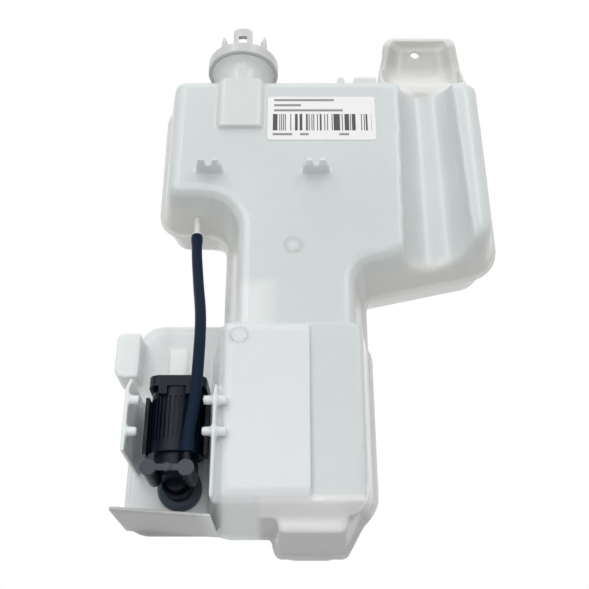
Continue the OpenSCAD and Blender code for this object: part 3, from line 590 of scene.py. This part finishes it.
def ray_reach(outline, direction):
    """How far a ray from the origin goes before it meets a closed outline."""
    best = 0.0
    for (ax, az), (bx, bz) in zip(outline, outline[1:] + outline[:1]):
        ex, ez = bx - ax, bz - az
        cross = direction[0] * ez - direction[1] * ex
        if abs(cross) < 1e-9:
            continue
        along = (ax * ez - az * ex) / cross
        share = (ax * direction[1] - az * direction[0]) / cross
        if along > 0 and 0 <= share <= 1:
            best = max(best, along)
    return best


def add_ear_scoop(form):
    """The ear's dished plate round its bolt hole, with a rim that fades out below."""
    front, back = [], []
    for ring in range(EAR_RINGS + 1):
        share = ring / EAR_RINGS
        rise = EAR_RISE * ramp(share, *EAR_RISE_SHARE) ** 2
        front.append([])
        back.append([])
        for k in range(EAR_SIDES):
            way = (sin(k * tau / EAR_SIDES), cos(k * tau / EAR_SIDES))
            reach = EAR_HOLE_R + (ray_reach(EAR_OUTLINE, way) - EAR_HOLE_R) * share
            x, z = reach * way[0], reach * way[1]
            rim = max(ramp(z, *EAR_RIM_HEIGHT), ramp(abs(x), *EAR_RIM_SIDE))
            front[-1].append(form.verts.new(at(x, EAR_FACE - rise * rim, z)))
            back[-1].append(form.verts.new(at(x, EAR_BACK, z)))
    join_loops(form, front + back[::-1])


def new_piece(name, form):
    """A smooth object of a finished form, which rides on the reservoir."""
    mesh = bpy.data.meshes.new(name)
    form.to_mesh(mesh)
    form.free()
    mesh.shade_smooth()
    piece = bpy.data.objects.new(name, mesh)
    bpy.context.collection.objects.link(piece)
    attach(piece, "reservoir")
    return piece


def settle(obj):
    """Turns a piece's modifiers into its mesh."""
    graph = bpy.context.evaluated_depsgraph_get()
    done = bpy.data.meshes.new_from_object(obj.evaluated_get(graph))
    done.validate()
    obj.modifiers.clear()
    obj.data = done


def in_box(place, box):
    """Whether a place in metres lies in a box given in millimetres."""
    return all(low * MM <= value <= high * MM for value, (low, high) in zip(place, box))


def add_smoothing(obj, name, passes, group=""):
    """Softens a piece, or only the points of a vertex group."""
    smooth = obj.modifiers.new(name, "SMOOTH")
    smooth.vertex_group = group
    smooth.factor = SMOOTH_FACTOR
    smooth.iterations = passes


# Pieces

def blown_tank():
    """The tank's own solid and its fine forms, with the soft corners of a blown wall."""
    solid = nodes["tank"]
    form = bmesh.new()
    form.from_mesh(solid.data)
    form.transform(solid.matrix_world)
    add_turned(form, NECK, NECK_FLARE, NECK_SIDES)
    add_ear_scoop(form)
    add_hull(form, FOOT)
    add_hull(form, BOX_CORNER)
    add_upright_plate(form, FOOT_BEAD, BEAD_HALF)
    low, top = LUG_HEIGHT
    for left, right in TOP_LUGS:
        side = ((left, low), (right, low), (left + LUG_TAPER, top), (right - LUG_TAPER, top))
        add_hull(form, [(x, y, z) for y in LUG_DEPTH for x, z in side])
    tank = new_piece("blown_tank", form)
    remesh = tank.modifiers.new("even wall", "REMESH")
    remesh.mode = "VOXEL"
    remesh.voxel_size = WALL_GRID * MM
    settle(tank)
    soft = tank.vertex_groups.new(name="soft areas")
    for box, share in SOFT_AREAS:
        soft.add([v.index for v in tank.data.vertices if in_box(v.co, box)], share, "REPLACE")
    add_smoothing(tank, "soft areas", AREA_PASSES, soft.name)
    add_smoothing(tank, "soft corners", WALL_PASSES)
    lighten = tank.modifiers.new("fewer faces", "DECIMATE")
    lighten.ratio = FACES_KEPT
    settle(tank)
    tank.data.shade_smooth()
    dress(tank, FINISHES["milky_polyethylene"])
    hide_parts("tank")


def neck_hooks():
    """Leaf-shaped hooks at the sides of the neck's collar."""
    form = bmesh.new()
    for side in (-1, 1):
        loops = []
        for k, (up, half_w, half_t) in enumerate(HOOK_LEAF):
            x = NECK[0] + side * (HOOK_R + HOOK_LEAN * k / (len(HOOK_LEAF) - 1))
            loops.append(level_ring(form, x, NECK[1], up, half_t, half_w, HOOK_SIDES))
        join_loops(form, loops, closed=False)
        form.faces.new(loops[0])
        form.faces.new(loops[-1])
    bmesh.ops.recalc_face_normals(form, faces=form.faces)
    hooks = new_piece("neck_hooks", form)
    rounding = hooks.modifiers.new("smooth leaf", "SUBSURF")
    rounding.levels = HOOK_ROUNDING
    rounding.render_levels = HOOK_ROUNDING
    dress(hooks, FINISHES["neck_plastic"])


def round_marks():
    """Marks of the mould's inserts: a low ring with a sunk middle and a small point."""
    form = bmesh.new()
    for x, y, z, radius in ROUND_MARKS:
        profile = [(radius + past, out) for past, out in MARK_RING] + MARK_POINT
        loops = [upright_ring(form, x, y + out, z, away, MARK_SIDES) for away, out in profile]
        join_loops(form, loops, closed=False)
        form.faces.new(loops[-1])
    bmesh.ops.recalc_face_normals(form, faces=form.faces)
    marks = new_piece("round_marks", form)
    dress(marks, FINISHES["milky_polyethylene"])


def through(points, steps):
    """Points on the smooth curve through a route."""
    line = []
    last = len(points) - 1
    for k in range(last):
        a, b = points[max(k - 1, 0)], points[k]
        c, d = points[k + 1], points[min(k + 2, last)]
        for j in range(steps):
            t = j / steps
            line.append((2 * b + (c - a) * t + (2 * a - 5 * b + 4 * c - d) * t ** 2
                         + (3 * b - a - 3 * c + d) * t ** 3) / 2)
    return line + [points[last]]


def rubber_hose():
    """A smooth tube on the solid's own route, swollen where it is pushed on at its ends."""
    line = through([at(*p) for p in HOSE_ROUTE], HOSE_STEPS)
    curve = bpy.data.curves.new("rubber_hose", "CURVE")
    curve.dimensions = "3D"
    curve.bevel_depth = HOSE_D / 2 * MM
    curve.bevel_resolution = HOSE_ROUNDING
    curve.use_fill_caps = True
    spline = curve.splines.new("POLY")
    spline.points.add(len(line) - 1)
    for k, (point, place) in enumerate(zip(spline.points, line)):
        from_end = min(k, len(line) - 1 - k)
        point.co = (*place, 1)
        point.radius = HOSE_SWELL if from_end < HOSE_END_POINTS else 1.0
    spline.use_smooth = True
    hose = bpy.data.objects.new("rubber_hose", curve)
    bpy.context.collection.objects.link(hose)
    dress(hose, FINISHES["hose_rubber"])
    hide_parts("hose")
    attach(hose, "reservoir")


def other_pieces():
    """Pieces that keep their solids, some with small broken edges."""
    slots = {part["node"]: part["material_slot"] for part in frame["record"]["subparts"]}
    # The valve caps take the lighter black with painted sheen
    looks = {"valve_caps": CAP_PAINTED_SHEEN, "label": label_finish()}
    for name, node in nodes.items():
        if name in ("tank", "hose"):
            continue
        dress(node, looks.get(name) or FINISHES[slots[name]])
        if name in BROKEN_EDGES:
            bevel = node.modifiers.new("broken edge", "BEVEL")
            bevel.width = BROKEN_EDGES[name] * MM
            bevel.segments = EDGE_SEGMENTS
            bevel.limit_method = "ANGLE"
            bevel.angle_limit = EDGE_ANGLE


# Studio

def area_lamp(name, place, width, height, power):
    """A rectangular soft lamp that faces the part."""
    lamp = bpy.data.lights.new(name, "AREA")
    lamp.energy = power
    lamp.shape = "RECTANGLE"
    lamp.size = width
    lamp.size_y = height
    obj = bpy.data.objects.new(name, lamp)
    bpy.context.collection.objects.link(obj)
    obj.location = place
    obj.rotation_euler = (Vector(AIM) - Vector(place)).to_track_quat("-Z", "Y").to_euler()


def white_world():
    """White to the camera and in reflections, and a weaker fill as light."""
    world = bpy.data.worlds.new("white studio")
    bpy.context.scene.world = world
    world.use_nodes = True
    tree = world.node_tree
    back = tree.nodes["Background"]
    back.inputs["Color"].default_value = (1, 1, 1, 1)
    path = tree.nodes.new("ShaderNodeLightPath")
    seen = any_of(
        tree, path.outputs["Is Camera Ray"], path.outputs["Is Glossy Ray"],
        path.outputs["Is Transmission Ray"],
    )
    feed(tree, back.inputs["Strength"], to_range(tree, seen, 0.0, 1.0, FILL_LIGHT, 1.0))


def pale_floor():
    """A plain floor, well under the part."""
    corners = [(-1, -1), (1, -1), (1, 1), (-1, 1)]
    mesh = bpy.data.meshes.new("floor")
    places = [(x * FLOOR_REACH, y * FLOOR_REACH, FLOOR_Z) for x, y in corners]
    mesh.from_pydata(places, [], [(0, 1, 2, 3)])
    mesh.materials.append(finish("pale floor", (0.8, 0.8, 0.8), (0.78, 0.78, 0.78), (0.7, 0.6)))
    floor = bpy.data.objects.new("floor", mesh)
    bpy.context.collection.objects.link(floor)


def photo_view():
    """A camera where the photo was taken from, with colours shown as they are written."""
    camera = bpy.data.cameras.new("photo view")
    camera.sensor_width = CAMERA_SENSOR
    camera.lens = CAMERA_LENS
    view = bpy.data.objects.new("photo view", camera)
    bpy.context.collection.objects.link(view)
    view.location = CAMERA_PLACE
    view.rotation_euler = (CAMERA_TILT, 0, 0)
    bpy.context.scene.camera = view
    bpy.context.scene.view_settings.view_transform = "Standard"


blown_tank()
neck_hooks()
round_marks()
rubber_hose()
other_pieces()
white_world()
for lamp in LAMPS:
    area_lamp(*lamp)
pale_floor()
photo_view()
